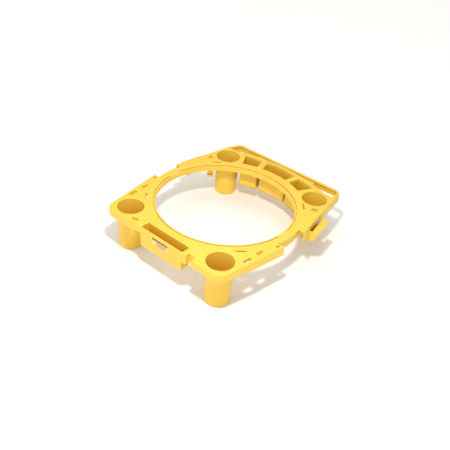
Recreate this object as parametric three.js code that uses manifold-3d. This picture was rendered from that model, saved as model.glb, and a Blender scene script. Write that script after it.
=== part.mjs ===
// Rim caddy: a moulded tool caddy that drops over the rim of a large round container.
// Millimetres, +Z up.  Front (label side) is -Y, the rear rail is +Y.
// The model is laid out about the ring centre, then moved so that the middle of the
// bounding box sits on the origin and the cup bottoms stand on z = 0.

import * as THREE from 'three';
import Module from 'manifold-3d';
import { mergeVertices } from 'three/addons/utils/BufferGeometryUtils.js';

const wasm = await Module();
wasm.setup();

// ---- driving dimensions ---------------------------------------------------------------

const TOP = 171;                // deck surface above the cup bottoms
const PLATE = 3.2;              // deck plate thickness
const WALL = 3;                 // general wall thickness
const GAP = 0.3;                // clearance between sections that touch
const UNDER = TOP - PLATE - GAP; // highest level of everything that hangs under the deck

const COLLAR_INNER = 273.5;     // inner face of the collar
const COLLAR_DEPTH = 23;        // how far the collar drops into the container
const COLLAR_LEDGE = 9;         // depth of the thicker lip at the top of the collar
const COLLAR_OUTER = 276.8;
const COLLAR_LIP = 1.5;         // how far that lip stands in
const OPENING = 280.2;          // inner edge of the deck, leaves an open groove outside the collar
const TIE_HALF = 28;            // half width of the ties that close the groove
const ROOF_OUTER = 300.5;       // edge of the channel roof, the face that rests on the container rim
const RIM_WALL_OUTER = 308;     // outer wall of the channel over the container rim
const RIM_WALL_BOTTOM = 133;
const BRIDGE_OUTER = 310;       // deck edge over the channel at the sides

const STEP_Y = 63;              // the side lobes end here in a step
const LOBE_X = 328;             // half width of the deck at the step
const SIDE_SLOPE = 0.157;       // the sides draw in towards the corners
const FRONT_Y = -352;           // front face of the tray
const LOBE_FRONT_Y = -360;      // front edge of the two front corners
const CORNER_RADIUS = 42;
const SKIRT_DEPTH = 32;         // side skirts below the deck top
const SKIRT_FLARE = 6;          // how far a side skirt leans out at its foot
const FRONT_SKIRT_DEPTH = 27;   // the skirts of the two front corners are shallower and upright
const FLARE_START_Y = -210;     // the side skirts have their full depth and flare from here
const NOTCH_WALL_DEPTH = 41;
const REAR_LOBE_SKIRT_DEPTH = 42;

const RAIL_Y = 423;             // rear face of the rail
const RAIL_RADIUS = 32;
const RAIL_DEPTH = 40;
const RAIL_DROP = 7;            // the rail lies this much lower than the deck
const RAIL_SLOPE_END = 385;     // its side arms come down to that level by here
const RAIL_FLARE = 2;
const RAIL_FLANGE = 12;
const RAIL_START_Y = 352;       // the rail takes over from the side skirts here
const REAR_EDGE = { apex: 396, radius: 620 }; // bowed rear edge of the deck, in front of the rail
const WEB_HALF = 150;           // the deck and the rail are joined over this half width
const WEB_DEPTH = 14;

const CUP_OPENING = 50.9;       // radius of the hole in the deck
const CUP_TOP_OUTER = 52;
const CUP_BOTTOM_OUTER = 46.5;
const CUP_WALL = 2.6;
const CUP_FLOOR = 3;
const FRONT_CUP = { x: 222.7, y: -288 };
const REAR_CUP = { x: 227.4, y: 285.5 };

const TRAY_HALF = 100.7;        // half length of the tray opening
const TRAY_REAR_Y = -311.5;
const TRAY_MOUTH_Y = -346.5;
const TRAY_DEPTH = 80;
const TRAY_DRAFT = 3;

const BIN_INNER_RADIUS = 318;
const BIN_DEPTH = 105;
const BIN_DRAFT = 5;            // how much each bin draws in towards its floor

const NOTCH_LEFT = 122;         // finger notch between the tray and the right front corner
const NOTCH_RIGHT = 152;
const NOTCH_REAR_Y = -336;

const HOLSTER_START_Y = 118;
const HOLSTER_END_Y = 222;
const HOLSTER_REACH = 37;       // how far the holster lip stands out from the deck edge
const HOLSTER_SLOT = 11;        // open slot between the deck edge and the lip
const HOLSTER_LIP_Z = 146;
const HOLSTER_RADIUS = 51;      // outer radius of the trough, centred behind the deck edge

const CLIP_ANGLES = { rear_right: 38, rear_left: 142, front_left: 218, front_right: 322 };
const CLIP_OUTER = 313;         // the clips hang just outside the strap slits
const CLIP_WIDTH = 25;
const CLIP_WINDOW = 44;         // break in the rim wall beside each clip
const CLIP_BOTTOM_Z = 95;
const CLIP_BARB = 5;

const LABEL = { left: -40, right: 36, bottom: 129, top: 163, thickness: 0.8 };

// ---- materials ------------------------------------------------------------------------

const yellow = () => new THREE.MeshStandardMaterial({ color: 0xf5c42c, roughness: 0.48, metalness: 0 });
const marking = () => new THREE.MeshStandardMaterial({ color: 0xc8664a, roughness: 0.55, metalness: 0 });

// ---- geometry helpers -----------------------------------------------------------------

const vec = (x, y) => new THREE.Vector2(x, y);
const radians = THREE.MathUtils.degToRad;
const degrees = THREE.MathUtils.radToDeg;

// The same outline on the other side of the centre plane, still running the same way round.
const mirrorX = (points) => points.map((p) => vec(-p.x, p.y)).reverse();

// Points of a circular arc, from one angle to the other (degrees), both ends included.
function arc(cx, cy, radius, from, to, steps) {
  return Array.from({ length: steps + 1 }, (_, i) => {
    const a = radians(from + ((to - from) * i) / steps);
    return vec(cx + radius * Math.cos(a), cy + radius * Math.sin(a));
  });
}

function fromRings(rings, caps) {
  const count = rings[0].length;
  const last = (rings.length - 1) * count;
  const index = [];
  for (let s = 0; s < rings.length - 1; s += 1) {
    for (let i = 0; i < count; i += 1) {
      const a = s * count + i;
      const b = s * count + ((i + 1) % count);
      index.push(a, b, b + count, a, b + count, a + count);
    }
  }
  caps.forEach(([a, b, c]) => {
    index.push(a, c, b);
    index.push(last + a, last + b, last + c);
  });
  const geometry = new THREE.BufferGeometry();
  const positions = rings.flat().flatMap((p) => [p.x, p.y, p.z]);
  geometry.setAttribute('position', new THREE.Float32BufferAttribute(positions, 3));
  geometry.setIndex(index);
  return geometry;
}

// Closed body between two level outlines that have the same number of points.
function loft(lower, bottom, upper, top) {
  const rings = [
    lower.map((p) => new THREE.Vector3(p.x, p.y, bottom)),
    upper.map((p) => new THREE.Vector3(p.x, p.y, top)),
  ];
  return fromRings(rings, THREE.ShapeUtils.triangulateShape(lower, []));
}

// Closed body swept along an open plan path.  The profile at each point of the path is a list
// of (offset, z) points, counter-clockwise; offset grows to the right of the direction of travel.
function sweep(path, profileAt) {
  const rings = path.map((p, i) => {
    const before = i > 0 ? p.clone().sub(path[i - 1]).normalize() : null;
    const after = i < path.length - 1 ? path[i + 1].clone().sub(p).normalize() : null;
    const along = (before ?? after).clone().add(after ?? before).normalize();
    const stretch = 1 / along.dot(after ?? before);
    return profileAt(p).map((q) => new THREE.Vector3(
      p.x + along.y * stretch * q.x,
      p.y - along.x * stretch * q.x,
      q.y,
    ));
  });
  return fromRings(rings.reverse(), THREE.ShapeUtils.triangulateShape(profileAt(path[0]), []));
}

// Flat plate between two levels, from an outline with holes.
function plate(outline, holes, bottom, top) {
  const shape = new THREE.Shape(outline);
  shape.holes = holes.map((points) => new THREE.Path(points));
  const geometry = new THREE.ExtrudeGeometry(shape, { depth: top - bottom, bevelEnabled: false });
  return geometry.translate(0, 0, bottom);
}

// Body turned about Z from a (radius, z) profile that is closed or starts and ends on the axis.
const turned = (profile, segments) => new THREE.LatheGeometry(profile, segments).rotateX(Math.PI / 2);

function merged(geometry) {
  const bare = geometry.clone();
  bare.deleteAttribute('normal');
  bare.deleteAttribute('uv');
  return mergeVertices(bare, 1e-4);
}

// The same body on the other side of the centre plane.
function mirrored(geometry) {
  const copy = merged(geometry).scale(-1, 1, 1);
  const corners = copy.index.array;
  for (let i = 0; i < corners.length; i += 3) {
    [corners[i], corners[i + 1]] = [corners[i + 1], corners[i]];
  }
  return copy;
}

function toSolid(geometry) {
  const closed = merged(geometry);
  const vertProperties = new Float32Array(closed.attributes.position.array);
  const triVerts = new Uint32Array(closed.index.array);
  return new wasm.Manifold(new wasm.Mesh({ numProp: 3, vertProperties, triVerts }));
}

function fromSolid(solid) {
  const mesh = solid.getMesh();
  const geometry = new THREE.BufferGeometry();
  geometry.setAttribute('position', new THREE.Float32BufferAttribute(mesh.vertProperties, 3));
  geometry.setIndex(Array.from(mesh.triVerts));
  return geometry;
}

const cut = (body, tool) => fromSolid(toSolid(body).subtract(toSolid(tool)));
const fuse = (one, other) => fromSolid(toSolid(one).add(toSolid(other)));

// Moves every side of a convex counter-clockwise outline outwards by a distance.
function grown(outline, distance) {
  const count = outline.length;
  return outline.map((p, i) => {
    const into = p.clone().sub(outline[(i + count - 1) % count]).normalize();
    const out = outline[(i + 1) % count].clone().sub(p).normalize();
    const along = into.clone().add(out).normalize();
    const stretch = distance / along.dot(out);
    return vec(p.x + along.y * stretch, p.y - along.x * stretch);
  });
}

// ---- lines shared by several sections -------------------------------------------------

// Half width of the deck at a distance from the centre line through the ring.
const sideX = (y) => LOBE_X - SIDE_SLOPE * (Math.abs(y) - STEP_Y);
const sidePoint = (y) => vec(sideX(y), y);
const SIDE_ANGLE = Math.atan(SIDE_SLOPE);

// Centre of a right-hand corner that is tangent to the side line.
const cornerCentre = (y, radius) => vec(sideX(y) - radius / Math.cos(SIDE_ANGLE), y);
const frontCentre = cornerCentre(LOBE_FRONT_Y + CORNER_RADIUS, CORNER_RADIUS);
const railCentre = cornerCentre(RAIL_Y - RAIL_RADIUS, RAIL_RADIUS);
const frontCorner = arc(frontCentre.x, frontCentre.y, CORNER_RADIUS, -90, -degrees(SIDE_ANGLE), 8);
const railCorner = arc(railCentre.x, railCentre.y, RAIL_RADIUS, degrees(SIDE_ANGLE), 90, 8);

// Angle at which a circle about the ring centre crosses a level.
const crossing = (radius, y) => degrees(Math.asin(y / radius));
const DECK_INNER = ROOF_OUTER + GAP;
const innerArc = (from, to, steps) => arc(0, 0, DECK_INNER, from, to, steps);

// Bowed rear edge of the deck, from right to left out to a half width.
const rearEdgeCentre = REAR_EDGE.apex - REAR_EDGE.radius;
function rearEdge(halfWidth) {
  const half = degrees(Math.asin(halfWidth / REAR_EDGE.radius));
  return arc(0, rearEdgeCentre, REAR_EDGE.radius, 90 - half, 90 + half, 16);
}
const rearEdgeEnd = Math.sqrt(REAR_EDGE.radius ** 2 - (RAIL_START_Y - rearEdgeCentre) ** 2);

// ---- openings in the deck -------------------------------------------------------------

const cupHole = ({ x, y }) => arc(x, y, CUP_OPENING, 0, 350, 35);
const otherSide = ({ x, y }) => ({ x: -x, y });

const trayMouth = [
  vec(-TRAY_HALF, TRAY_MOUTH_Y), vec(TRAY_HALF, TRAY_MOUTH_Y),
  vec(TRAY_HALF, TRAY_REAR_Y), vec(-TRAY_HALF, TRAY_REAR_Y),
];

// Mouth of a rear bin: radial sides, an inner edge along the ring and a slightly bowed rear
// edge.  Angles are measured from the rear centre line, towards the right.
function binMouth(from, to, rearFrom, rearMiddle, rearTo) {
  const at = (radius, angle) => vec(radius * Math.sin(radians(angle)), radius * Math.cos(radians(angle)));
  const middle = (from + to) / 2;
  return [
    at(BIN_INNER_RADIUS, from), at(BIN_INNER_RADIUS, middle), at(BIN_INNER_RADIUS, to),
    at(rearTo, to), at(rearMiddle, middle), at(rearFrom, from),
  ];
}

const centreBinMouth = binMouth(-11.2, 11.2, 378, 380, 378);
const rightBinMouth = binMouth(14.8, 27.4, 375, 384, 391);

// Slot with round ends, centred at a point, its long axis at an angle to +X.
function slot(x, y, length, width, angle) {
  const reach = (length - width) / 2;
  const dx = Math.cos(radians(angle)) * reach;
  const dy = Math.sin(radians(angle)) * reach;
  return [
    ...arc(x + dx, y + dy, width / 2, angle - 90, angle + 90, 5),
    ...arc(x - dx, y - dy, width / 2, angle + 90, angle + 270, 5),
  ];
}

// A strap slit along the ring and a four-sided hanger hole, beside each corner cup.
const rearStrapSlit = slot(227, 206.5, 42, 6.5, -48);
const rearHangerHole = [vec(260, 207), vec(284, 209), vec(282, 231), vec(264, 227)];
const frontStrapSlit = slot(235, -197, 46, 7, 45);
const frontHangerHole = [vec(276, -236), vec(290, -238), vec(293, -202), vec(280, -200)];
const lobeHoles = [slot(288, -153, 34, 13, 88), slot(311, -77, 16, 8, 84)];
const scraperSlot = slot(-151, -332, 27, 13, 15);

const bothSides = (holes) => [...holes, ...holes.map(mirrorX)];
const rearHoles = bothSides([rearStrapSlit, rearHangerHole]);
const frontHoles = bothSides([frontStrapSlit, frontHangerHole, ...lobeHoles]);

// ---- deck sections --------------------------------------------------------------------

function deckFront() {
  const right = [...frontCorner, sidePoint(-STEP_Y)];
  const angle = crossing(DECK_INNER, STEP_Y);
  const outline = [
    ...innerArc(360 - angle, 180 + angle, 52),
    ...mirrorX(right),
    vec(-NOTCH_RIGHT, LOBE_FRONT_Y), vec(-NOTCH_LEFT, FRONT_Y),
    vec(NOTCH_LEFT, FRONT_Y), vec(NOTCH_LEFT, NOTCH_REAR_Y),
    vec(NOTCH_RIGHT, NOTCH_REAR_Y), vec(NOTCH_RIGHT, LOBE_FRONT_Y),
    ...right,
  ];
  const cups = [cupHole(FRONT_CUP), cupHole(otherSide(FRONT_CUP))];
  return plate(outline, [...cups, trayMouth, scraperSlot, ...frontHoles], TOP - PLATE, TOP);
}

function deckRear() {
  const side = [sidePoint(STEP_Y), sidePoint(RAIL_START_Y)];
  const angle = crossing(DECK_INNER, STEP_Y);
  const outline = [...side, ...rearEdge(rearEdgeEnd), ...mirrorX(side), ...innerArc(180 - angle, angle, 52)];
  const cups = [cupHole(REAR_CUP), cupHole(otherSide(REAR_CUP))];
  const bins = [centreBinMouth, rightBinMouth, mirrorX(rightBinMouth)];
  return plate(outline, [...cups, ...bins, ...rearHoles], TOP - PLATE, TOP);
}

// Ring of deck over the rim channel; it rests on the container rim and is tied to the collar
// at both sides.
function channelRoof() {
  const tieEnd = crossing(OPENING, TIE_HALF);
  const half = [
    ...arc(0, 0, COLLAR_OUTER + GAP, -tieEnd, tieEnd, 4),
    ...arc(0, 0, OPENING, tieEnd, 180 - tieEnd, 40),
  ];
  const opening = [...half, ...half.map((p) => vec(-p.x, -p.y))];
  return plate(arc(0, 0, ROOF_OUTER, 0, 356, 89), [opening], TOP - PLATE, TOP);
}

// Edge of the deck over the rim wall at the right, between the lobes.
function deckBridge() {
  const endY = STEP_Y - GAP;
  const outerEnd = crossing(BRIDGE_OUTER, endY);
  const innerEnd = crossing(DECK_INNER, endY);
  const outline = [...arc(0, 0, BRIDGE_OUTER, -outerEnd, outerEnd, 6), ...innerArc(innerEnd, -innerEnd, 6)];
  return plate(outline, [], TOP - PLATE, TOP);
}

// ---- ring walls -----------------------------------------------------------------------

function collar() {
  const bottom = TOP - COLLAR_DEPTH;
  const ledge = TOP - COLLAR_LEDGE;
  const lip = COLLAR_INNER - COLLAR_LIP;
  const profile = [
    vec(COLLAR_INNER, bottom), vec(COLLAR_OUTER, bottom), vec(COLLAR_OUTER, TOP),
    vec(lip, TOP), vec(lip, ledge), vec(COLLAR_INNER, ledge - COLLAR_LIP), vec(COLLAR_INNER, bottom),
  ];
  return turned(profile, 90);
}

// Stretch of the rim wall between two clips.
function rimWall(fromClip, toClip) {
  const window = degrees(CLIP_WINDOW / 2 / RIM_WALL_OUTER);
  const path = arc(0, 0, RIM_WALL_OUTER, fromClip + window, toClip - window, 20);
  const profile = [
    vec(-WALL, UNDER), vec(-WALL, RIM_WALL_BOTTOM), vec(0, RIM_WALL_BOTTOM), vec(0, UNDER),
  ];
  return sweep(path, () => profile);
}

// Finger that hangs from the deck, with a barb that snaps below the bead of the container rim.
function rimClip(angle) {
  const half = degrees(CLIP_WIDTH / 2 / CLIP_OUTER);
  const profile = [
    vec(-WALL, UNDER), vec(-WALL, CLIP_BOTTOM_Z + 18), vec(-WALL - CLIP_BARB, CLIP_BOTTOM_Z + 12),
    vec(-WALL, CLIP_BOTTOM_Z), vec(0, CLIP_BOTTOM_Z), vec(0, UNDER),
  ];
  return sweep(arc(0, 0, CLIP_OUTER, angle - half, angle + half, 3), () => profile);
}

// ---- cups, tray and bins --------------------------------------------------------------

function cup() {
  const inner = CUP_TOP_OUTER - CUP_WALL;
  const foot = CUP_BOTTOM_OUTER - CUP_WALL;
  const profile = [
    vec(0, 0), vec(CUP_BOTTOM_OUTER - 4, 0), vec(CUP_BOTTOM_OUTER - 1, 1.2), vec(CUP_BOTTOM_OUTER, 4),
    vec(CUP_TOP_OUTER, UNDER), vec(inner, UNDER),
    vec(foot, CUP_FLOOR + 4), vec(foot - 4, CUP_FLOOR), vec(0, CUP_FLOOR),
  ];
  return turned(profile, 36);
}

// Open-topped tray behind the front panel; the panel itself is upright.
function tray() {
  const floor = TOP - TRAY_DEPTH;
  const box = (half, front, rear) => [
    vec(-half, front), vec(half, front), vec(half, rear), vec(-half, rear),
  ];
  const outer = TRAY_HALF + WALL;
  const outside = loft(
    box(outer - TRAY_DRAFT, FRONT_Y, TRAY_REAR_Y + WALL - TRAY_DRAFT), floor,
    box(outer, FRONT_Y, TRAY_REAR_Y + WALL), UNDER,
  );
  const inside = loft(
    box(TRAY_HALF - TRAY_DRAFT, TRAY_MOUTH_Y, TRAY_REAR_Y - TRAY_DRAFT), floor + WALL,
    box(TRAY_HALF, TRAY_MOUTH_Y, TRAY_REAR_Y), UNDER + 1,
  );
  return cut(outside, inside);
}

function bin(mouth) {
  const floor = TOP - BIN_DEPTH;
  const outside = loft(grown(mouth, WALL - BIN_DRAFT), floor, grown(mouth, WALL), UNDER);
  const inside = loft(grown(mouth, -BIN_DRAFT), floor + WALL, mouth, UNDER + 1);
  return cut(outside, inside);
}

// ---- skirts, rail and holsters --------------------------------------------------------

// A skirt stands under the deck edge and leans out by the flare at its foot.
const skirtProfile = (depth, flare) => [
  vec(-WALL, UNDER), vec(flare - WALL, TOP - depth), vec(flare, TOP - depth), vec(0, UNDER),
];

const skirt = (path, depth) => sweep(path, () => skirtProfile(depth, SKIRT_FLARE));

// Around a front corner the skirt is shallow and upright, and along the side it is deeper and
// leans out.
function cornerSkirt(start) {
  const path = [...start, ...frontCorner, sidePoint(FLARE_START_Y), sidePoint(-STEP_Y)];
  return sweep(path, ({ y }) => {
    const share = THREE.MathUtils.inverseLerp(frontCentre.y, FLARE_START_Y, y);
    const lean = THREE.MathUtils.clamp(share, 0, 1);
    return skirtProfile(THREE.MathUtils.lerp(FRONT_SKIRT_DEPTH, SKIRT_DEPTH, lean), SKIRT_FLARE * lean);
  });
}

const trayEnd = TRAY_HALF + WALL + GAP;
const skirtFrontRight = () => cornerSkirt([vec(NOTCH_RIGHT, LOBE_FRONT_Y)]);

function skirtFrontLeft() {
  const start = [vec(trayEnd, FRONT_Y), vec(NOTCH_LEFT, FRONT_Y), vec(NOTCH_RIGHT, LOBE_FRONT_Y)];
  return mirrored(cornerSkirt(start));
}

function notchWall() {
  const path = [
    vec(trayEnd, FRONT_Y), vec(NOTCH_LEFT, FRONT_Y), vec(NOTCH_LEFT, NOTCH_REAR_Y),
    vec(NOTCH_RIGHT, NOTCH_REAR_Y), vec(NOTCH_RIGHT, LOBE_FRONT_Y + WALL + GAP),
  ];
  return sweep(path, () => skirtProfile(NOTCH_WALL_DEPTH, 0));
}

const lobeSkirt = () => skirt([sidePoint(STEP_Y), sidePoint(HOLSTER_START_Y - GAP)], REAR_LOBE_SKIRT_DEPTH);
const rearSkirt = () => skirt([sidePoint(HOLSTER_END_Y + GAP), sidePoint(RAIL_START_Y - GAP)], SKIRT_DEPTH);

function rail() {
  const bottom = TOP - RAIL_DEPTH;
  const startY = RAIL_START_Y + 2;
  const right = [sidePoint(startY), sidePoint(RAIL_SLOPE_END), ...railCorner];
  return sweep([...right, ...mirrorX(right)], ({ y }) => {
    const share = THREE.MathUtils.inverseLerp(startY, RAIL_SLOPE_END, y);
    const top = TOP - RAIL_DROP * THREE.MathUtils.clamp(share, 0, 1);
    return [
      vec(RAIL_FLARE - WALL, bottom), vec(RAIL_FLARE, bottom), vec(0, top),
      vec(-RAIL_FLANGE, top), vec(-RAIL_FLANGE, top - WALL), vec(-WALL, top - WALL),
    ];
  });
}

// Sunk floor of the channel between the deck and the rail, with a wall up to the deck edge.
function railWeb() {
  const level = TOP - WEB_DEPTH;
  const foot = level - WALL;
  const edge = rearEdge(WEB_HALF).reverse();
  const wall = sweep(edge, () => [vec(0, UNDER), vec(0, foot), vec(WALL, foot), vec(WALL, UNDER)]);
  const rear = RAIL_Y - WALL - GAP;
  const front = edge.map((p) => vec(p.x, p.y - WALL / 2));
  return fuse(wall, plate([vec(WEB_HALF, rear), vec(-WEB_HALF, rear), ...front], [], foot, level));
}

// Trough beside the deck for a hung tool: an upright inner wall, a round bottom and a flat lip
// that leaves a slot along the deck edge.  Its front end is closed and its rear end is open.
function holster() {
  const centre = HOLSTER_REACH - HOLSTER_RADIUS;
  const innerRadius = HOLSTER_RADIUS - WALL;
  const outerStart = -degrees(Math.acos(-centre / HOLSTER_RADIUS));
  const innerStart = -degrees(Math.acos(-centre / innerRadius));
  const underLip = -degrees(Math.asin(WALL / innerRadius));
  const outer = arc(centre, HOLSTER_LIP_Z, HOLSTER_RADIUS, outerStart, 0, 10);
  const inner = arc(centre, HOLSTER_LIP_Z, innerRadius, underLip, innerStart, 10);
  const profile = [
    vec(-WALL, UNDER), vec(-WALL, outer[0].y), ...outer,
    vec(HOLSTER_SLOT, HOLSTER_LIP_Z), vec(HOLSTER_SLOT, HOLSTER_LIP_Z - WALL), ...inner, vec(0, UNDER),
  ];
  const trough = sweep([sidePoint(HOLSTER_START_Y), sidePoint(HOLSTER_END_Y)], () => profile);

  // The end wall grows out of the middle of the trough's wall.
  const radius = HOLSTER_RADIUS - WALL / 2;
  const foot = -degrees(Math.acos(-(centre + WALL / 2) / radius));
  const lip = -degrees(Math.asin(WALL / 2 / radius));
  const infill = [
    ...arc(centre, HOLSTER_LIP_Z, radius, foot, lip, 10),
    vec(-WALL / 2, HOLSTER_LIP_Z - WALL / 2),
  ];
  const start = HOLSTER_START_Y + 0.5;
  return fuse(trough, sweep([sidePoint(start), sidePoint(start + WALL)], () => infill));
}

function label() {
  const face = FRONT_Y - GAP;
  const { left, right, bottom, top, thickness } = LABEL;
  const box = new THREE.BoxGeometry(right - left, thickness, top - bottom);
  return box.translate((left + right) / 2, face - thickness / 2, (bottom + top) / 2);
}

// ---- assembly -------------------------------------------------------------------------

const caddy = new THREE.Group();
const aboutRing = new THREE.Group();
aboutRing.position.y = -(RAIL_Y + RAIL_FLARE + LOBE_FRONT_Y) / 2;
caddy.add(aboutRing);

function add(name, geometry, material = yellow()) {
  const mesh = new THREE.Mesh(geometry, material);
  mesh.name = name;
  aboutRing.add(mesh);
  return mesh;
}

function addPair(name, geometry) {
  add(`${name}_right`, geometry);
  add(`${name}_left`, mirrored(geometry));
}

add('deck_front', deckFront());
add('deck_rear', deckRear());
add('channel_roof', channelRoof());
addPair('deck_bridge', deckBridge());
add('collar', collar());

add('rim_wall_right', rimWall(CLIP_ANGLES.front_right - 360, CLIP_ANGLES.rear_right));
add('rim_wall_rear', rimWall(CLIP_ANGLES.rear_right, CLIP_ANGLES.rear_left));
add('rim_wall_left', rimWall(CLIP_ANGLES.rear_left, CLIP_ANGLES.front_left));
add('rim_wall_front', rimWall(CLIP_ANGLES.front_left, CLIP_ANGLES.front_right));

for (const [end, place] of Object.entries({ front: FRONT_CUP, rear: REAR_CUP })) {
  for (const [side, sign] of Object.entries({ right: 1, left: -1 })) {
    add(`cup_${end}_${side}`, cup()).position.set(place.x * sign, place.y, 0);
  }
}

add('tray', tray());
add('label', label(), marking());
add('bin_centre', bin(centreBinMouth));
add('bin_right', bin(rightBinMouth));
add('bin_left', bin(mirrorX(rightBinMouth)));

add('skirt_front_right', skirtFrontRight());
add('skirt_front_left', skirtFrontLeft());
add('notch_wall', notchWall());
addPair('skirt_lobe', lobeSkirt());
addPair('skirt_rear', rearSkirt());
add('rear_rail', rail());
add('rail_web', railWeb());
addPair('holster', holster());

for (const [place, angle] of Object.entries(CLIP_ANGLES)) {
  add(`rim_clip_${place}`, rimClip(angle));
}

export default caddy;
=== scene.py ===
"""Looks of the yellow rim caddy: a moulded frame that drops over the rim of a round container.

Shapes are laid out in millimetres about the ring centre, and to_scene() turns them into metres
in the frame's own axes.  The front, with the label, is -Y and the rear rail is +Y.
"""

from math import acos, asin, atan, ceil, cos, degrees, pi, radians, sin, sqrt, tan

import bmesh
import bpy
from mathutils import Matrix, Vector
from mathutils.geometry import tessellate_polygon


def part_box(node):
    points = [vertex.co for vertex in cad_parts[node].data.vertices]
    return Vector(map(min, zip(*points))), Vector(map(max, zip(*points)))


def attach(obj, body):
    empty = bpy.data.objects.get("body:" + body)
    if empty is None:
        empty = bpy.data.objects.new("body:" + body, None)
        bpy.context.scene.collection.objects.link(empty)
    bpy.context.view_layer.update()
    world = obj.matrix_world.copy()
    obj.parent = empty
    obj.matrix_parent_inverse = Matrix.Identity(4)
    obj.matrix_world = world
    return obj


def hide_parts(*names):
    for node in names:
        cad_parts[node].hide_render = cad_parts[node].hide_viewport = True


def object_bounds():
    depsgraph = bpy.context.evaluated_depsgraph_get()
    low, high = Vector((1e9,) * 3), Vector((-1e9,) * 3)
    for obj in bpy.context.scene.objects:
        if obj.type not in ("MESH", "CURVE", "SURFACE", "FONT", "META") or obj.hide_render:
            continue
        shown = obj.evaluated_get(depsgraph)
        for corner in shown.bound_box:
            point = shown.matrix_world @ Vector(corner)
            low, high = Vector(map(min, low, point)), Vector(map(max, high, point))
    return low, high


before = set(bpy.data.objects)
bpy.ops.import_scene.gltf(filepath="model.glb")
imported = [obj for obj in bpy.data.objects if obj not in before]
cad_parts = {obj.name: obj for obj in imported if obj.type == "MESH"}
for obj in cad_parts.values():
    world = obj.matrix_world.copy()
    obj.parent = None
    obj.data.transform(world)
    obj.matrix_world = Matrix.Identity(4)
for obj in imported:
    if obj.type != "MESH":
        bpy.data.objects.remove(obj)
cad_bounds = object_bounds()

# ---- driving dimensions (mm) -----------------------------------------------------------

MM = 0.001
COLLAR_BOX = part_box("collar")
RING_Y = (COLLAR_BOX[0][1] + COLLAR_BOX[1][1]) / 2 / MM
TOP = cad_bounds[1][2] / MM          # deck surface
PLATE = 3.2                          # deck plate thickness
UNDER = TOP - PLATE                  # underside of the deck plate
WALL = 3.0
OVERLAP = 1.5                        # how far walls run up into the deck plate

COLLAR_OUTER = COLLAR_BOX[1][0] / MM
COLLAR_BOTTOM = COLLAR_BOX[0][2] / MM
COLLAR_INNER = COLLAR_OUTER - 3.3
LIP_STEP = 1.5                       # the collar is this much thicker at its lip
LIP_INNER = COLLAR_INNER - LIP_STEP
LIP_DEPTH = 9.0
GROOVE_OUTER = 280.2                 # open groove between the collar and the deck
TIE_HALF = 28.0                      # half width of the ties that close the groove
LEDGE_DEPTH = 5.0                    # a thin ledge lies this far down in the groove
LEDGE_THICKNESS = 1.5
LEDGE_REACH = 7.0
RIM_WALL_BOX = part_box("rim_wall_right")
RIM_WALL_OUTER = RIM_WALL_BOX[1][0] / MM
RIM_WALL_BOTTOM = RIM_WALL_BOX[0][2] / MM
BRIDGE_OUTER = 310.0                 # the deck bridges follow this radius between the lobes

STEP_Y = 63.0                        # the side lobes end here in a step
LOBE_X = 328.0                       # half width of the deck at the step
SIDE_SLOPE = 0.157                   # the sides draw in towards the corners
SIDE_ANGLE = degrees(atan(SIDE_SLOPE))
FRONT_Y = -352.0
LOBE_FRONT_Y = -360.0
CORNER_RADIUS = 42.0
EDGE_RADIUS = 1.6                    # rounding along the top edge of the deck
STEP_ROUND = 1.8                     # plan rounding of the steps and of the notch
FRONT_BEND = 12.0                    # plan rounding where the left lobe meets the front edge
SKIRT_DEPTH = 32.0
FRONT_SKIRT_DEPTH = 27.0             # the skirts of the two front corners are shallower and upright
REAR_LOBE_DEPTH = 42.0
FLARE = 6.0                          # how far a side skirt leans out at its foot
FLARE_START_Y = -210.0               # the side skirts have their full depth and flare from here
NOTCH_DEPTH = 41.0

RAIL_Y = 423.0                       # rear face of the rail
RAIL_RADIUS = 32.0
RAIL_DEPTH = 40.0
RAIL_DROP = 7.0                      # the rail lies this much lower than the deck
RAIL_SLOPE_END = 385.0               # its side arms come down to that level by here
RAIL_FLARE = 2.0
RAIL_FLANGE = 12.0                   # width of its top flange
RAIL_START_Y = 352.0
REAR_EDGE_Y = 396.0                  # middle of the bowed rear edge of the deck
REAR_EDGE_RADIUS = 620.0
WEB_HALF = 150.0                     # a sunk floor joins the deck and the rail over this half width
WEB_DEPTH = 14.0

NOTCH_LEFT = 122.0
NOTCH_RIGHT = 152.0
NOTCH_REAR_Y = -336.0

TRAY_HALF = 100.7
TRAY_REAR_Y = -311.5
TRAY_MOUTH_Y = -346.5
TRAY_DEPTH = 80.0
TRAY_DRAFT = 3.0
TRAY_ROUND = 4.0                     # plan rounding of the tray's inner corners
BIN_INNER_RADIUS = 318.0
BIN_ROUND = 3.0
BIN_BOW_ROUND = 300.0                # rounding in the middle of a bin's bowed rear edge
BIN_DEPTH = 105.0
BIN_DRAFT = 5.0
SLEEVE_DEPTH = 14.0                  # the spouts under the small holes end here
SLEEVE_WALL = 2.0
INSET = 0.1                          # walls stand this far in from the deck edge above them
FIT = 0.12                           # hollows are this much wider than the deck holes above them

CUP_MOUTH = 50.6
CUP_TOP_OUTER = 52.0
CUP_FOOT_OUTER = 46.5
CUP_WALL = 2.6
CUP_HOLLOW = 1.2                     # the foot is hollowed this deep underneath
CUP_FLOOR = 3.4                      # level of the floor inside
CUP_FOOT_ROUND = 4.0
CUP_INNER_ROUND = 5.0

HOLSTER_START_Y = 118.0
HOLSTER_END_Y = 222.0
HOLSTER_REACH = 37.0                 # how far the lip stands out from the deck edge
HOLSTER_SLOT = 11.0                  # open slot between the deck edge and the lip
HOLSTER_LIP_Z = 146.0
HOLSTER_RADIUS = 51.0
HOLSTER_CENTRE = HOLSTER_REACH - HOLSTER_RADIUS

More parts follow.
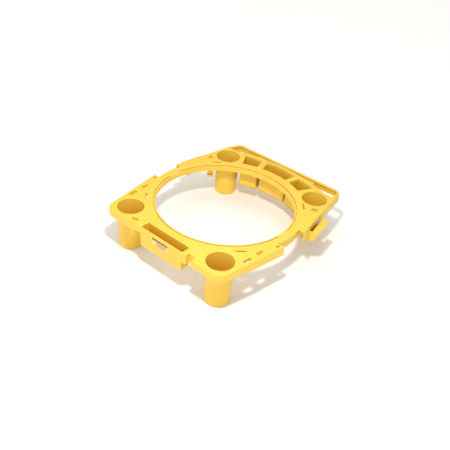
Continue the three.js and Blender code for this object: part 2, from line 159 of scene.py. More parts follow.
CLIP_ANGLES = {"rear_right": 38, "rear_left": 142, "front_left": 218, "front_right": 322}
CLIP_OUTER = 313.0
CLIP_WINDOW = 44.0                   # gap in the rim walls at each clip
CLIP_WIDTH = 25.0
CLIP_BOTTOM_Z = 95.0
CLIP_BARB = 5.0


def to_scene(x, y, z):
    return Vector((x * MM, (y + RING_Y) * MM, z * MM))


# ---- plan outlines ---------------------------------------------------------------------

def arc(cx, cy, radius, start, end, step=3.0):
    """Points of an arc, from one angle to the other in degrees, both ends included."""
    count = max(1, ceil(abs(end - start) / step))
    angles = [radians(start + (end - start) * i / count) for i in range(count + 1)]
    return [(cx + radius * cos(a), cy + radius * sin(a)) for a in angles]


def circle(cx, cy, radius, count=96):
    """Points of a full circle, without a repeated end."""
    return [(cx + radius * cos(2 * pi * i / count), cy + radius * sin(2 * pi * i / count))
            for i in range(count)]


def mirrored(points):
    """The same points on the other side of the centre plane, still running the same way round."""
    return [(-p[0], *p[1:]) for p in reversed(points)]


def rounded(corners, step=9.0):
    """Closed outline from (x, y, radius) corners; a radius of 0 leaves a plain point."""
    outline = []
    for i, (x, y, radius) in enumerate(corners):
        here = Vector((x, y))
        if radius == 0:
            outline.append((x, y))
            continue
        back = (Vector(corners[i - 1][:2]) - here).normalized()
        ahead = (Vector(corners[(i + 1) % len(corners)][:2]) - here).normalized()
        half = back.angle(ahead) / 2
        centre = here + (back + ahead).normalized() * (radius / sin(half))
        start = here + back * (radius / tan(half)) - centre
        end = here + ahead * (radius / tan(half)) - centre
        turn = start.angle_signed(end)
        count = max(2, ceil(abs(degrees(turn)) / step))
        for k in range(count + 1):
            spoke = Matrix.Rotation(-turn * k / count, 2) @ start
            outline.append(tuple(centre + spoke))
    return outline


def offset(loop, distance):
    """A counter-clockwise loop with every side moved outwards by a distance."""
    moved = []
    for i, point in enumerate(loop):
        here = Vector(point)
        arriving = (here - Vector(loop[i - 1])).normalized()
        leaving = (Vector(loop[(i + 1) % len(loop)]) - here).normalized()
        along = (arriving + leaving).normalized()
        reach = distance / along.dot(leaving)
        moved.append((here.x + along.y * reach, here.y - along.x * reach))
    return moved


def side_x(y):
    """Half width of the deck at a distance from the cross line through the ring."""
    return LOBE_X - SIDE_SLOPE * (abs(y) - STEP_Y)


def side_point(y):
    return (side_x(y), y)


def share_of_way(value, start, end):
    """How far a value lies on the way between two others, from 0 to 1."""
    return min(max((value - start) / (end - start), 0), 1)


def slot(x, y, length, width, angle):
    """Slot with round ends, its long axis at an angle to +X."""
    reach = (length - width) / 2
    dx, dy = cos(radians(angle)) * reach, sin(radians(angle)) * reach
    return (arc(x + dx, y + dy, width / 2, angle - 90, angle + 90, 15)
            + arc(x - dx, y - dy, width / 2, angle + 90, angle + 270, 15))


# ---- meshes ----------------------------------------------------------------------------

class Body:
    """A closed mesh built from rings of points that have the same count."""

    def __init__(self, name):
        self.name = name
        self.mesh = bmesh.new()

    def ring(self, points):
        return [self.mesh.verts.new(to_scene(*p)) for p in points]

    def bridge(self, lower, upper):
        count = len(lower)
        for i in range(count):
            j = (i + 1) % count
            self.mesh.faces.new((lower[i], lower[j], upper[j], upper[i]))

    def stack(self, rings, loop=False):
        """Joins rings in order; with loop the last one meets the first, or else both are capped."""
        made = [self.ring(points) for points in rings]
        for lower, upper in zip(made, made[1:]):
            self.bridge(lower, upper)
        if loop:
            self.bridge(made[-1], made[0])
        else:
            self.mesh.faces.new(made[0])
            self.mesh.faces.new(made[-1])

    def fill(self, loops):
        """Closes a flat region between an outer loop and its holes."""
        corners = [v for loop in loops for v in loop]
        flat = [[v.co for v in loop] for loop in loops]
        for triangle in tessellate_polygon(flat):
            self.mesh.faces.new([corners[i] for i in triangle])

    def finish(self, material, bevel=0.0, segments=3):
        bmesh.ops.recalc_face_normals(self.mesh, faces=self.mesh.faces)
        data = bpy.data.meshes.new(self.name)
        self.mesh.to_mesh(data)
        self.mesh.free()
        data.materials.append(material)
        for face in data.polygons:
            face.use_smooth = True
        thing = bpy.data.objects.new(self.name, data)
        bpy.context.collection.objects.link(thing)
        if bevel:
            soften = thing.modifiers.new("rounded_edges", "BEVEL")
            soften.width = bevel * MM
            soften.segments = segments
            soften.limit_method = "ANGLE"
            soften.angle_limit = radians(35)
        shade = thing.modifiers.new("shading", "WEIGHTED_NORMAL")
        shade.keep_sharp = True
        return thing


def place(thing, *nodes, finish="yellow_moulding"):
    """The piece rides on the caddy and stands for these nodes."""
    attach(thing, "root")
    if nodes:
        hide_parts(*nodes)
    return thing


def at_level(loop, z):
    return [(x, y, z) for x, y in loop]


def slab(name, outline, holes, material):
    """The deck plate: outline and holes are (loop, edge radius), rounded over at the top."""
    body = Body(name)
    tops, bottoms = [], []
    steps = 5
    for (loop, radius), outwards in [(outline, -1)] + [(hole, 1) for hole in holes]:
        rings = []
        for k in range(steps + 1):
            a = radians(90 * k / steps)
            widened = offset(loop, outwards * radius * (1 - sin(a)))
            rings.append(at_level(widened, TOP - radius * (1 - cos(a))))
        rings.append(at_level(loop, UNDER))
        made = [body.ring(points) for points in rings]
        for lower, upper in zip(made, made[1:]):
            body.bridge(lower, upper)
        tops.append(made[0])
        bottoms.append(made[-1])
    body.fill(tops)
    body.fill(bottoms)
    return body.finish(material)


def sweep(name, path, profile, material, bevel=0.8):
    """Body along an open plan path; the profile is (offset to the right of travel, z) points, or
    a function that gives them for a point of the path."""
    rings = []
    for i, point in enumerate(path):
        here = Vector(point)
        arriving = (here - Vector(path[i - 1])).normalized() if i else None
        leaving = (Vector(path[i + 1]) - here).normalized() if i < len(path) - 1 else None
        along = ((arriving or leaving) + (leaving or arriving)).normalized()
        stretch = 1 / along.dot(leaving or arriving)
        rings.append([(here.x + along.y * stretch * q[0], here.y - along.x * stretch * q[0], q[1])
                      for q in (profile(point) if callable(profile) else profile)])
    body = Body(name)
    body.stack(rings)
    return body.finish(material, bevel)


def turned(name, profile, material, bevel=0.0):
    """Ring turned about the upright axis from a closed (radius, z) profile."""
    body = Body(name)
    body.stack([at_level(circle(0, 0, r, 192), z) for r, z in profile], loop=True)
    return body.finish(material, bevel)


# ---- materials -------------------------------------------------------------------------

class Nodes:
    """Short hand for building a material's node tree."""

    def __init__(self, name):
        self.material = bpy.data.materials.new(name)
        self.material.use_nodes = True
        self.tree = self.material.node_tree
        self.shader = self.tree.nodes["Principled BSDF"]

    def add(self, kind, **values):
        node = self.tree.nodes.new(kind)
        for key, value in values.items():
            if hasattr(node, key):
                setattr(node, key, value)
            else:
                node.inputs[key.replace("_", " ")].default_value = value
        return node

    def link(self, source, target):
        self.tree.links.new(source, target)

    def noise(self, scale, detail, roughness=0.5, stretch=None):
        """Noise in the frame's own metres; stretch scales the three axes first."""
        place_node = self.add("ShaderNodeTexCoord")
        coords = place_node.outputs["Object"]
        if stretch:
            mapping = self.add("ShaderNodeMapping")
            mapping.inputs["Scale"].default_value = stretch
            self.link(coords, mapping.inputs["Vector"])
            coords = mapping.outputs["Vector"]
        node = self.add("ShaderNodeTexNoise", Scale=scale, Detail=detail, Roughness=roughness)
        self.link(coords, node.inputs["Vector"])
        return node.outputs["Fac"]

    def ramp(self, fac, low, high, low_value, high_value):
        """Maps a factor between two limits onto two values, clamped."""
        node = self.add("ShaderNodeMapRange")
        limits = {"From Min": low, "From Max": high, "To Min": low_value, "To Max": high_value}
        for key, value in limits.items():
            node.inputs[key].default_value = value
        self.link(fac, node.inputs["Value"])
        return node.outputs["Result"]

    def mix(self, fac, a, b):
        """Blends two colours; each is a colour or a socket."""
        node = self.add("ShaderNodeMix", data_type="RGBA")
        if isinstance(fac, float):
            node.inputs["Factor"].default_value = fac
        else:
            self.link(fac, node.inputs["Factor"])
        for key, value in (("A", a), ("B", b)):
            socket = [s for s in node.inputs if s.name == key and s.type == "RGBA"][0]
            if isinstance(value, tuple):
                socket.default_value = (*value, 1)
            else:
                self.link(value, socket)
        return [s for s in node.outputs if s.type == "RGBA"][0]

    def maths(self, operation, a, b):
        node = self.add("ShaderNodeMath", operation=operation)
        for socket, value in zip(node.inputs, (a, b)):
            if isinstance(value, float):
                socket.default_value = value
            else:
                self.link(value, socket)
        return node.outputs[0]

    def bump(self, height, strength, distance):
        node = self.add("ShaderNodeBump")
        node.inputs["Strength"].default_value = strength
        node.inputs["Distance"].default_value = distance
        self.link(height, node.inputs["Height"])
        self.link(node.outputs["Normal"], self.shader.inputs["Normal"])


YELLOW = (0.95, 0.64, 0.075)
YELLOW_DEEP = (0.90, 0.57, 0.045)
YELLOW_PALE = (0.97, 0.75, 0.18)
YELLOW_PAINTED_SHADE = (0.83, 0.48, 0.014)  # painted shade: deeper orange where hollows hold shade
PAINTED_SHADE_REACH = 0.12                  # painted shade: a facing wall within this distance closes a hollow (m)
FLOOR_COLOURS = (0.93, 0.925, 0.915), (0.95, 0.945, 0.935)
GLOW_NEAR, GLOW_FAR = 0.09, 0.5      # painted light: glow of the floor under the object and far away from it
GLOW_START, GLOW_END = 0.4, 1.2      # distances from the middle where it starts and stops to grow (m)


def moulded_plastic():
    """Satin polyethylene: fine spark-eroded grain, faint flow clouds, scuffs, paler worn edges, and painted
    shade in deeper orange inside hollows.
    """
    n = Nodes("yellow_polyethylene")
    clouds = n.ramp(n.noise(9.0, 3.0), 0.3, 0.7, 0.0, 0.45)
    colour = n.mix(clouds, YELLOW, YELLOW_DEEP)
    scuffs = n.ramp(n.noise(60.0, 6.0, 0.6, (1.0, 14.0, 3.0)), 0.62, 0.75, 0.0, 0.35)
    colour = n.mix(scuffs, colour, YELLOW_PALE)
    # painted shade: the colour turns deeper orange where hollows are occluded
    painted_shade_openness = n.add("ShaderNodeAmbientOcclusion", samples=8, Distance=PAINTED_SHADE_REACH).outputs["AO"]
    colour = n.mix(n.ramp(painted_shade_openness, 0.05, 0.5, 1.0, 0.0), colour, YELLOW_PAINTED_SHADE)
    edges = n.add("ShaderNodeNewGeometry").outputs["Pointiness"]
    patches = n.ramp(n.noise(140.0, 4.0), 0.4, 0.65, 0.2, 1.0)
    worn = n.maths("MULTIPLY", n.ramp(edges, 0.51, 0.60, 0.0, 0.5), patches)
    n.link(n.mix(worn, colour, YELLOW_PALE), n.shader.inputs["Base Color"])
    grain = n.noise(1500.0, 3.0, 0.65)
    smears = n.ramp(n.noise(25.0, 5.0), 0.35, 0.7, 0.0, 0.10)
    rough = n.maths("ADD", n.ramp(grain, 0.3, 0.7, 0.36, 0.46), smears)
    n.link(n.maths("ADD", rough, n.maths("MULTIPLY", scuffs, 0.25)), n.shader.inputs["Roughness"])
    n.bump(n.maths("ADD", grain, n.maths("MULTIPLY", n.noise(220.0, 2.0), 0.8)), 0.35, 0.00012)
    n.shader.inputs["Subsurface Weight"].default_value = 0.12
    n.shader.inputs["Subsurface Radius"].default_value = (1.0, 0.55, 0.12)
    n.shader.inputs["Subsurface Scale"].default_value = 0.003
    n.shader.inputs["IOR"].default_value = 1.5
    n.shader.inputs["Specular IOR Level"].default_value = 0.45
    return n.material


def printed(name, ink, film):
    """Screen-printed ink that lets a little of the film under it show through in specks."""
    n = Nodes(name)
    specks = n.ramp(n.noise(900.0, 4.0, 0.7), 0.56, 0.72, 0.0, 0.6)
    n.link(n.mix(specks, ink, film), n.shader.inputs["Base Color"])
    n.link(n.ramp(specks, 0.0, 0.6, 0.38, 0.55), n.shader.inputs["Roughness"])
    n.bump(n.noise(700.0, 2.0), 0.15, 0.00004)
    return n.material


def seamless_floor():
    """Pale studio sweep with a faint paper tooth; its glow is painted light that grows away from the
    object.
    """
    n = Nodes("pale_floor")
    tint = n.mix(n.ramp(n.noise(3.0, 3.0), 0.3, 0.7, 0.0, 1.0), *FLOOR_COLOURS)
    n.link(tint, n.shader.inputs["Base Color"])
    n.shader.inputs["Roughness"].default_value = 0.8
    n.bump(n.noise(400.0, 3.0), 0.08, 0.0002)
    place_node = n.add("ShaderNodeTexCoord")
    reach = n.add("ShaderNodeVectorMath", operation="LENGTH")
    n.link(place_node.outputs["Object"], reach.inputs[0])
    n.shader.inputs["Emission Color"].default_value = (1.0, 0.985, 0.95, 1)
    # painted light: the floor glows, dimmer under the object and brighter away from it
    glow = n.ramp(reach.outputs["Value"], GLOW_START, GLOW_END, GLOW_NEAR, GLOW_FAR)
    n.link(glow, n.shader.inputs["Emission Strength"])
    return n.material


PLASTIC = moulded_plastic()

# ---- deck ------------------------------------------------------------------------------

CORNER_X = side_x(LOBE_FRONT_Y)
STEP_ANGLE = degrees(asin(STEP_Y / BRIDGE_OUTER))
STEP_INNER_X = sqrt(BRIDGE_OUTER ** 2 - STEP_Y ** 2)

step_front = [(LOBE_X, -STEP_Y, STEP_ROUND), (STEP_INNER_X, -STEP_Y, 0)]
step_rear = [(STEP_INNER_X, STEP_Y, 0), (LOBE_X, STEP_Y, STEP_ROUND)]
bridge_edge = [(x, y, 0) for x, y in arc(0, 0, BRIDGE_OUTER, -STEP_ANGLE, STEP_ANGLE)[1:-1]]
right_side = [
    (CORNER_X, LOBE_FRONT_Y, CORNER_RADIUS), *step_front, *bridge_edge, *step_rear,
    (*side_point(RAIL_START_Y), 0),
]
notch = [
    (NOTCH_LEFT, FRONT_Y, STEP_ROUND), (NOTCH_LEFT, NOTCH_REAR_Y, STEP_ROUND),
    (NOTCH_RIGHT, NOTCH_REAR_Y, STEP_ROUND), (NOTCH_RIGHT, LOBE_FRONT_Y, STEP_ROUND),
]
left_front = [(-NOTCH_RIGHT, LOBE_FRONT_Y, FRONT_BEND), (-NOTCH_LEFT, FRONT_Y, FRONT_BEND)]


def rear_edge(half_width):
    """Bowed rear edge of the deck, from right to left over a half width each way."""
    half = degrees(asin(half_width / REAR_EDGE_RADIUS))
    centre_y = REAR_EDGE_Y - REAR_EDGE_RADIUS
    return arc(0, centre_y, REAR_EDGE_RADIUS, 90 - half, 90 + half, 1.0)


rear_drop = REAR_EDGE_RADIUS - REAR_EDGE_Y + RAIL_START_Y
rear_side = [(x, y, 0) for x, y in rear_edge(sqrt(REAR_EDGE_RADIUS ** 2 - rear_drop ** 2))]
DECK_OUTLINE = rounded(notch + right_side + rear_side + mirrored(right_side) + left_front)

FRONT_CUP = (222.7, -288.0)
REAR_CUP = (227.4, 285.5)
CUPS = {
    "front_right": FRONT_CUP, "front_left": (-FRONT_CUP[0], FRONT_CUP[1]),
    "rear_right": REAR_CUP, "rear_left": (-REAR_CUP[0], REAR_CUP[1]),
}

TRAY_MOUTH = rounded([
    (-TRAY_HALF, TRAY_MOUTH_Y, TRAY_ROUND), (TRAY_HALF, TRAY_MOUTH_Y, TRAY_ROUND),
    (TRAY_HALF, TRAY_REAR_Y, TRAY_ROUND), (-TRAY_HALF, TRAY_REAR_Y, TRAY_ROUND),
])


def bin_mouth(start, end, rear_start, rear_middle, rear_end):
    """Bin mouth between two angles from the rear centre line; radii give its bowed rear edge."""
    def at(radius, angle):
        return radius * sin(radians(angle)), radius * cos(radians(angle))

    inner = [at(BIN_INNER_RADIUS, start + (end - start) * i / 8) for i in range(9)]
    corners = [
        (*inner[0], BIN_ROUND), *[(*p, 0) for p in inner[2:-2]], (*inner[-1], BIN_ROUND),
        (*at(rear_end, end), BIN_ROUND), (*at(rear_middle, (start + end) / 2), BIN_BOW_ROUND),
        (*at(rear_start, start), BIN_ROUND),
    ]
    return rounded(list(reversed(corners)))


BINS = {
    "bin_centre": bin_mouth(-11.2, 11.2, 378, 380, 378),
    "bin_right": bin_mouth(14.8, 27.4, 375, 384, 391),
}
BINS["bin_left"] = mirrored(BINS["bin_right"])


def groove(sign):
    """Open groove outside the collar, on the rear (+1) or front (-1) half."""
    end = degrees(asin(TIE_HALF / COLLAR_OUTER))
    first, last = (end, 180 - end) if sign > 0 else (180 + end, 360 - end)
    outer = arc(0, 0, GROOVE_OUTER, first, last, 2)
    inner = arc(0, 0, COLLAR_OUTER, last, first, 2)
    return outer + inner


strap_slits = [slot(227, 206.5, 42, 6.5, -48), slot(235, -197, 46, 7, 45)]
hanger_holes = [
    rounded([(260, 207, 2), (284, 209, 2), (282, 231, 2), (264, 227, 2)]),
    rounded([(276, -236, 2), (290, -238, 2), (293, -202, 2), (280, -200, 2)]),
]
lobe_holes = [slot(288, -153, 34, 13, 88), slot(311, -77, 16, 8, 84)]
scraper_hole = slot(-151, -332, 27, 13, 15)
right_holes = strap_slits + hanger_holes + lobe_holes
small_holes = right_holes + [mirrored(loop) for loop in right_holes] + [scraper_hole]

# Each hole is paired with the rounding of its edge.
deck_holes = [(circle(0, 0, LIP_INNER, 240), 1.0), (groove(1), 0.4), (groove(-1), 0.4)]
deck_holes += [(circle(x, y, CUP_MOUTH), 1.8) for x, y in CUPS.values()]
deck_holes += [(TRAY_MOUTH, 1.4), *[(mouth, 1.4) for mouth in BINS.values()]]
deck_holes += [(loop, 0.8) for loop in small_holes]

deck = slab("moulded_deck", (DECK_OUTLINE, EDGE_RADIUS), deck_holes, PLASTIC)
place(deck, "deck_front", "deck_rear", "channel_roof", "deck_bridge_right", "deck_bridge_left")


def sleeve(name, loop):
    """Short spout under a hole in the deck."""
    inner, outer = offset(loop, 0.1), offset(loop, SLEEVE_WALL)
    end = TOP - SLEEVE_DEPTH
    body = Body(name)
    body.stack([at_level(inner, end), at_level(outer, end),
                at_level(outer, UNDER + OVERLAP), at_level(inner, UNDER + OVERLAP)], loop=True)
    return body.finish(PLASTIC)


for i, loop in enumerate(small_holes):
    place(sleeve(f"moulded_sleeve_{i + 1}", loop))

# ---- ring ------------------------------------------------------------------------------

lip_bottom = TOP - LIP_DEPTH
collar = turned("moulded_collar", [
    (COLLAR_INNER, COLLAR_BOTTOM), (COLLAR_OUTER, COLLAR_BOTTOM), (COLLAR_OUTER, UNDER + OVERLAP),
    (LIP_INNER, UNDER + OVERLAP), (LIP_INNER, lip_bottom), (COLLAR_INNER, lip_bottom - LIP_STEP),
], PLASTIC, bevel=0.7)
place(collar, "collar")

ledge_top = TOP - LEDGE_DEPTH
ledge_bottom = ledge_top - LEDGE_THICKNESS
ledge_inner, ledge_outer = COLLAR_OUTER - 1, COLLAR_OUTER + LEDGE_REACH
ledge_profile = [(ledge_inner, ledge_bottom), (ledge_outer, ledge_bottom),
                 (ledge_outer, ledge_top), (ledge_inner, ledge_top)]
place(turned("groove_ledge", ledge_profile, PLASTIC))


rim_wall_profile = [
    (-WALL, UNDER + OVERLAP), (-WALL, RIM_WALL_BOTTOM), (0, RIM_WALL_BOTTOM), (0, UNDER + OVERLAP),
]
clip_order = [("right", -38, 38), ("rear", 38, 142), ("left", 142, 218), ("front", 218, 322)]
window_angle = degrees(CLIP_WINDOW / 2 / RIM_WALL_OUTER)
for side, first, last in clip_order:
    path = arc(0, 0, RIM_WALL_OUTER, first + window_angle, last - window_angle, 2)
    place(sweep(f"moulded_rim_wall_{side}", path, rim_wall_profile, PLASTIC), f"rim_wall_{side}")

clip_half = degrees(CLIP_WIDTH / 2 / CLIP_OUTER)
clip_profile = [
    (-WALL, UNDER + OVERLAP), (-WALL, CLIP_BOTTOM_Z + 18), (-WALL - CLIP_BARB, CLIP_BOTTOM_Z + 12),
    (-WALL - CLIP_BARB + 1, CLIP_BOTTOM_Z + 9), (-WALL, CLIP_BOTTOM_Z), (0, CLIP_BOTTOM_Z),
    (0, UNDER + OVERLAP),
]
for where, angle in CLIP_ANGLES.items():
    path = arc(0, 0, CLIP_OUTER, angle - clip_half, angle + clip_half, 1)
    place(sweep(f"moulded_clip_{where}", path, clip_profile, PLASTIC, 0.8), f"rim_clip_{where}")

# ---- cups ------------------------------------------------------------------------------


def fillet(r, z, radius, start, end, steps=5):
    """Quarter-round of a (radius, z) profile about a centre."""
    return [(r + radius * cos(radians(start + (end - start) * i / steps)),
             z + radius * sin(radians(start + (end - start) * i / steps))) for i in range(steps + 1)]


def cup(name, x, y):
    """Tapered cup with a round foot, a shallow hollow under its floor and a soft inner corner."""
    middle = 2.0
    profile = [(middle, CUP_HOLLOW), (CUP_FOOT_OUTER - 12, CUP_HOLLOW),
               (CUP_FOOT_OUTER - 11, 0.3), (CUP_FOOT_OUTER - 10, 0.0)]
    profile += fillet(CUP_FOOT_OUTER - CUP_FOOT_ROUND, CUP_FOOT_ROUND, CUP_FOOT_ROUND, -90, 0)
    profile += [(CUP_TOP_OUTER - 0.6, UNDER - 8), (CUP_TOP_OUTER + 0.2, UNDER - 3),
                (CUP_TOP_OUTER + 1.6, UNDER), (CUP_TOP_OUTER + 1.6, UNDER + OVERLAP),
                (CUP_MOUTH + FIT, UNDER + OVERLAP)]
    inner_corner = CUP_FOOT_OUTER - CUP_WALL - CUP_INNER_ROUND
    profile += fillet(inner_corner, CUP_FLOOR + CUP_INNER_ROUND, CUP_INNER_ROUND, 0, -90)
    profile += [(middle, CUP_FLOOR)]
    body = Body(name)
    body.stack([at_level(circle(x, y, r), z) for r, z in profile])
    return body.finish(PLASTIC)


for where, (x, y) in CUPS.items():
    place(cup(f"moulded_cup_{where}", x, y), f"cup_{where}")

# ---- tray and bins ---------------------------------------------------------------------


def pocket(name, mouth, depth, draft, corner=2.5):
    """Open-topped box below a mouth; its walls draw in by the draft towards a rounded floor."""
    floor = TOP - depth
    steps = 4

    def corner_ring(share, inset, level):
        a = radians(90 * share)
        return at_level(offset(mouth, -inset - corner * (1 - cos(a))), level + corner * (1 - sin(a)))

    rings = [corner_ring(1 - i / steps, draft - WALL, floor) for i in range(steps + 1)]
    rings += [at_level(offset(mouth, WALL), UNDER), at_level(offset(mouth, WALL), UNDER + OVERLAP)]
    rings += [at_level(offset(mouth, FIT), UNDER + OVERLAP)]
    rings += [corner_ring(i / steps, draft, floor + WALL) for i in range(steps + 1)]
    body = Body(name)
    body.stack(rings)
    return body.finish(PLASTIC)


for node, mouth in BINS.items():
    place(pocket(f"moulded_{node}", mouth, BIN_DEPTH, BIN_DRAFT), node)


def tray():
    """Slot-like pocket behind an upright front panel that is flush with the deck's front edge."""
    floor = TOP - TRAY_DEPTH
    panel_y = FRONT_Y + 0.1
    outer_round = 1.5

    def level_box(half, front, rear, radius, z):
        corners = [(-half, front), (half, front), (half, rear), (-half, rear)]
        return at_level(rounded([(*corner, radius) for corner in corners]), z)

    outer_half, outer_rear = TRAY_HALF + WALL, TRAY_REAR_Y + WALL
    body = Body("moulded_tray")
    body.stack([
        level_box(outer_half - TRAY_DRAFT, panel_y, outer_rear - TRAY_DRAFT, outer_round, floor),
        level_box(outer_half, panel_y, outer_rear, outer_round, UNDER + OVERLAP),
        level_box(TRAY_HALF + FIT, TRAY_MOUTH_Y - FIT, TRAY_REAR_Y + FIT, TRAY_ROUND, UNDER + OVERLAP),
        level_box(TRAY_HALF - TRAY_DRAFT, TRAY_MOUTH_Y, TRAY_REAR_Y - TRAY_DRAFT, TRAY_ROUND, floor + WALL),
    ])
    return body.finish(PLASTIC, 0.9)


place(tray(), "tray")

# ---- skirts, rail and holsters ---------------------------------------------------------


def skirt_profile(foot, flare):
    """Wall under the deck edge that leans out by the flare at its foot."""
    top = UNDER + OVERLAP
    return [(-WALL - INSET, top), (flare - WALL, foot), (flare, foot), (-INSET, top)]


def skirt(name, path, depth, *nodes, flare=FLARE, flip=False):
    """Skirt of one depth along a path; flip sets it on the left-hand side."""
    if flip:
        path = mirrored(path)
    return place(sweep(name, path, skirt_profile(TOP - depth, flare), PLASTIC, 1.0), *nodes)


def corner_arc(y, radius, start, end):
    """Rounded right-hand corner that is tangent to the side line, its centre at a level."""
    return arc(side_x(y) - radius / cos(radians(SIDE_ANGLE)), y, radius, start, end)


front_corner = corner_arc(LOBE_FRONT_Y + CORNER_RADIUS, CORNER_RADIUS, -90, -SIDE_ANGLE)
rail_corner = corner_arc(RAIL_Y - RAIL_RADIUS, RAIL_RADIUS, SIDE_ANGLE, 90)
lobe_path = [*front_corner, side_point(FLARE_START_Y), side_point(-STEP_Y - 0.6)]
tray_end = TRAY_HALF + WALL - 1      # walls that meet the tray start inside its own wall


def front_skirt(name, start, flip=False):
    """Shallow and upright around the front corner, deeper and leaning out along the side."""
    corner_y = LOBE_FRONT_Y + CORNER_RADIUS

    def profile(point):
        lean = share_of_way(point[1], corner_y, FLARE_START_Y)
        foot = TOP - FRONT_SKIRT_DEPTH - (SKIRT_DEPTH - FRONT_SKIRT_DEPTH) * lean
        return skirt_profile(foot, FLARE * lean)

    path = start + lobe_path
    return place(sweep(f"moulded_{name}", mirrored(path) if flip else path, profile, PLASTIC, 1.0), name)


left_start = [
    (tray_end, FRONT_Y), *arc(NOTCH_LEFT - 1.5, FRONT_Y - FRONT_BEND, FRONT_BEND, 90, 75),
    *arc(NOTCH_RIGHT + 1.5, LOBE_FRONT_Y + FRONT_BEND, FRONT_BEND, -105, -90),
]
front_skirt("skirt_front_right", [(NOTCH_RIGHT + 0.8, LOBE_FRONT_Y)])
front_skirt("skirt_front_left", left_start, flip=True)

for side, flip in (("right", False), ("left", True)):
    lobe = [side_point(STEP_Y + 0.6), side_point(HOLSTER_START_Y + 1)]
    skirt(f"moulded_skirt_lobe_{side}", lobe, REAR_LOBE_DEPTH, f"skirt_lobe_{side}", flip=flip)
    rear = [side_point(HOLSTER_END_Y - 1), side_point(RAIL_START_Y + 2)]
    skirt(f"moulded_skirt_rear_{side}", rear, SKIRT_DEPTH, f"skirt_rear_{side}", flip=flip)


def rail():
    """Rail round the rear with a narrow top flange; its arms ease down from the deck's level."""
    start = RAIL_START_Y - 3
    half = [side_point(start + (RAIL_SLOPE_END - start) * i / 8) for i in range(9)] + rail_corner
    foot = TOP - RAIL_DEPTH
    sink = 0.05                      # keeps the start of the arms just below the face of the deck

    def profile(point):
        share = share_of_way(point[1], RAIL_START_Y, RAIL_SLOPE_END)
        top = TOP - sink - (RAIL_DROP - sink) * share * share * (3 - 2 * share)
        return [(RAIL_FLARE - WALL, foot), (RAIL_FLARE, foot), (0, top),
                (-RAIL_FLANGE, top), (-RAIL_FLANGE, top - PLATE), (-WALL, top - PLATE)]

    return sweep("moulded_rail", half + mirrored(half), profile, PLASTIC, 1.0)


place(rail(), "rear_rail")


def rail_web():
    """Sunk floor between the deck and the rail, with a wall up to the deck edge."""
    level = TOP - WEB_DEPTH
    rear = RAIL_Y - WALL + 1
    body = Body("moulded_rail_web")
    body.stack([
        [(x, y - WALL, UNDER + OVERLAP), (x, y - WALL, level - WALL), (x, rear, level - WALL),
         (x, rear, level), (x, y, level), (x, y, UNDER + 0.5)]
        for x, y in rear_edge(WEB_HALF)])
    return body.finish(PLASTIC, 0.8)


place(rail_web(), "rail_web")


def holster_foot(radius, offset_out):
    """Angle at which an arc of the trough's section reaches an offset from the deck edge."""
    return -degrees(acos((offset_out - HOLSTER_CENTRE) / radius))


def holster_arc(radius, start, end):
    return arc(HOLSTER_CENTRE, HOLSTER_LIP_Z, radius, start, end, 4)


def holster(name, flip):
    """Trough beside the deck: upright inner wall, round bottom, and a flat lip that leaves a slot."""
    inner_radius = HOLSTER_RADIUS - WALL
    under_lip = -degrees(asin(WALL / inner_radius))
    outer = holster_arc(HOLSTER_RADIUS, holster_foot(HOLSTER_RADIUS, 0), 0)
    inner = holster_arc(inner_radius, under_lip, holster_foot(inner_radius, 0))
    profile = [
        (-WALL, UNDER + OVERLAP), (-WALL, outer[0][1]), *outer, (HOLSTER_SLOT, HOLSTER_LIP_Z),
        (HOLSTER_SLOT, HOLSTER_LIP_Z - WALL), *inner, (-INSET, UNDER + OVERLAP),
    ]
    path = [side_point(HOLSTER_START_Y), side_point(HOLSTER_END_Y)]
    return sweep(name, mirrored(path) if flip else path, profile, PLASTIC, 0.8)


def holster_end(name, flip):
    """Wall that closes the front end of the trough; it grows out of the middle of the trough's wall."""
    middle = WALL / 2
    radius = HOLSTER_RADIUS - middle
    lip = -degrees(asin(middle / radius))
    profile = holster_arc(radius, holster_foot(radius, -middle), lip) + [(-middle, HOLSTER_LIP_Z - middle)]
    start = HOLSTER_START_Y + 0.5
    path = [side_point(start), side_point(start + WALL)]
    return sweep(name, mirrored(path) if flip else path, profile, PLASTIC, 0.4)


for side, flip in (("right", False), ("left", True)):
    place(holster(f"moulded_holster_{side}", flip), f"holster_{side}")
    place(holster_end(f"moulded_holster_end_{side}", flip))

notch_path = [
    (tray_end, FRONT_Y), (NOTCH_LEFT, FRONT_Y), (NOTCH_LEFT, NOTCH_REAR_Y),
    (NOTCH_RIGHT, NOTCH_REAR_Y), (NOTCH_RIGHT, LOBE_FRONT_Y + 1),
]
skirt("moulded_notch_wall", notch_path, NOTCH_DEPTH, "notch_wall", flare=0.0)

# ---- label -----------------------------------------------------------------------------

LABEL_LOW, LABEL_HIGH = [[v / MM for v in corner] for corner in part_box("label")]
LABEL_FACE = LABEL_LOW[1] - RING_Y
LEFT_EDGE, RIGHT_EDGE = LABEL_LOW[0], LABEL_HIGH[0]
LOW_EDGE, HIGH_EDGE = LABEL_LOW[2], LABEL_HIGH[2]


def tag(name, outline, back, front, material):
    """Thin upright plate on the panel from an (x, z) outline, between two depths."""
    body = Body(name)
    body.stack([[(x, y, z) for x, z in outline] for y in (back, front)])
    return body.finish(material, 0.15, 2)


FILM = printed("label_film", (0.95, 0.74, 0.24), (0.97, 0.80, 0.34))
DARK_INK = printed("dark_ink", (0.16, 0.10, 0.04), (0.40, 0.28, 0.12))
RED_INK = printed("red_ink", (0.80, 0.38, 0.20), (0.93, 0.60, 0.30))

film_outline = rounded([(LEFT_EDGE, LOW_EDGE, 3), (RIGHT_EDGE, LOW_EDGE, 3),
                        (RIGHT_EDGE, HIGH_EDGE, 3), (LEFT_EDGE, HIGH_EDGE, 3)])
film = tag("label_film", film_outline, FRONT_Y + 0.4, LABEL_FACE + 0.35, FILM)
place(film, "label", finish="marking")

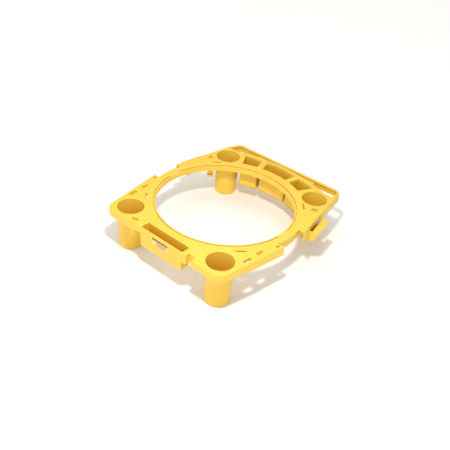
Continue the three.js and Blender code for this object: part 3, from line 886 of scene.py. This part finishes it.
# Generic marks: a row of dark blocks over a pale red field, with no lettering.
BLOCKS = 7
BLOCK_HEIGHT = 10
BLOCK_DROP = 13                      # from the label's upper edge to the foot of the lower blocks
BLOCK_GAP = 1.6
MARK_FACES = (LABEL_FACE + 0.5, LABEL_FACE + 0.1)
block_pitch = (RIGHT_EDGE - LEFT_EDGE) / BLOCKS
for i in range(BLOCKS):
    left = LEFT_EDGE + block_pitch * i + BLOCK_GAP / 2
    right = left + block_pitch - BLOCK_GAP
    low = HIGH_EDGE - BLOCK_DROP + (i % 2)
    high = low + BLOCK_HEIGHT
    outline = rounded([(left, low, 1), (right, low, 1), (right, high, 1), (left, high, 1)])
    place(tag(f"label_block_{i + 1}", outline, *MARK_FACES, DARK_INK), finish="marking")
field_low, field_high = LOW_EDGE + 2.5, HIGH_EDGE - 14.5
field = rounded([(-26, field_high, 3), (-14, field_low, 4), (30, field_low, 4), (24, field_high, 3)])
place(tag("label_field", field, *MARK_FACES, RED_INK), finish="marking")

# ---- floor, light and camera -----------------------------------------------------------

FLOOR_REACH = 9.0                    # metres from the middle to each side
floor_level = cad_bounds[0][2] - 0.0002
floor_corners = [(-FLOOR_REACH, -FLOOR_REACH), (FLOOR_REACH, -FLOOR_REACH),
                 (FLOOR_REACH, FLOOR_REACH), (-FLOOR_REACH, FLOOR_REACH)]
floor_mesh = bmesh.new()
floor_mesh.faces.new([floor_mesh.verts.new((x, y, floor_level)) for x, y in floor_corners])
floor_data = bpy.data.meshes.new("floor")
floor_mesh.to_mesh(floor_data)
floor_mesh.free()
floor = bpy.data.objects.new("floor", floor_data)
floor_data.materials.append(seamless_floor())
bpy.context.collection.objects.link(floor)


def lamp(name, place_mm, target_mm, size, power):
    """White disk lamp aimed at a target; its size is in metres and its power in watts."""
    data = bpy.data.lights.new(name, "AREA")
    data.shape = "DISK"
    data.size = size
    data.energy = power
    thing = bpy.data.objects.new(name, data)
    bpy.context.collection.objects.link(thing)
    thing.location = to_scene(*place_mm)
    aim = to_scene(*target_mm) - thing.location
    thing.rotation_euler = aim.to_track_quat("-Z", "Y").to_euler()


lamp("key", (380, -620, 1570), (0, 0, 0), 0.16, 16)
lamp("overhead_rear", (-500, 700, 2200), (0, 0, 0), 1.8, 8)
lamp("fill_left", (-1800, -1500, 1200), (0, 0, 80), 1.6, 5)
lamp("fill_camera", (1300, -2200, 900), (0, 0, 80), 1.6, 5)

world = bpy.data.worlds.new("studio")
world.use_nodes = True
background = world.node_tree.nodes["Background"]
background.inputs["Color"].default_value = (1.0, 0.99, 0.975, 1)
background.inputs["Strength"].default_value = 0.5
bpy.context.scene.world = world
bpy.context.scene.view_settings.view_transform = "Standard"

AZIMUTH, ELEVATION, ROLL = radians(36.913), radians(35.647), radians(6.128)
DISTANCE = 2163.7
AIM = (98.1, -117.9, TOP)
camera_data = bpy.data.cameras.new("camera")
camera_data.sensor_width = 36
camera_data.lens = 47.17
camera = bpy.data.objects.new("camera", camera_data)
bpy.context.collection.objects.link(camera)
back = Vector((sin(AZIMUTH) * cos(ELEVATION), -cos(AZIMUTH) * cos(ELEVATION), sin(ELEVATION)))
level = Vector((cos(AZIMUTH), sin(AZIMUTH), 0))
upward = back.cross(level)
right = cos(ROLL) * level + sin(ROLL) * upward
top = cos(ROLL) * upward - sin(ROLL) * level
placement = Matrix((right, top, back)).transposed().to_4x4()
placement.translation = to_scene(*AIM) + back * DISTANCE * MM
camera.matrix_world = placement
bpy.context.scene.camera = camera

bpy.context.view_layer.update()
